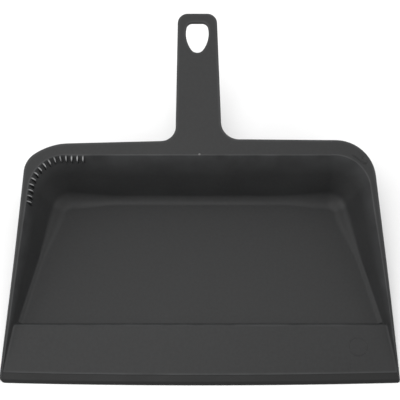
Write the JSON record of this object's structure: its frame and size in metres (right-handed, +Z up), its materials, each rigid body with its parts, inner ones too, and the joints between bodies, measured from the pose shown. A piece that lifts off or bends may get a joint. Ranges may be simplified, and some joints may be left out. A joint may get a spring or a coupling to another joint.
{
  "type": "dust pan",
  "caption": "One-piece moulded plastic dust pan: sloped well with raised front ramp, wide back flange, flat handle with a hanging hole, and a bristle comb round one back corner",
  "frame": {"origin": "centre of the bounding box in X and Y, on the ground that the pan rests on", "axes": "+X to the user's right seen from the front lip, +Y from the lip towards the handle, +Z up"},
  "size_m": [0.305, 0.3, 0.0782],
  "materials": {
    "moulding": "charcoal polypropylene with a fine matt texture",
    "comb": "the same charcoal polypropylene, rubbed lighter at the tooth edges"
  },
  "bodies": {
    "root": {"pan_floor": "moulding", "back_wall": "moulding", "left_back_corner": "moulding", "right_back_corner": "moulding", "left_side_wall": "moulding", "right_side_wall": "moulding", "left_cheek": "moulding", "right_cheek": "moulding", "back_flange": "moulding", "left_side_rim": "moulding", "right_side_rim": "moulding", "left_corner_rim": "moulding", "right_corner_rim": "moulding", "front_ramp": "moulding", "front_lip": "moulding", "ramp_ribs": "moulding", "handle": "moulding", "edge_skirt": "moulding", "handle_ribs": "moulding", "comb_teeth": "comb"}
  },
  "joints": []
}
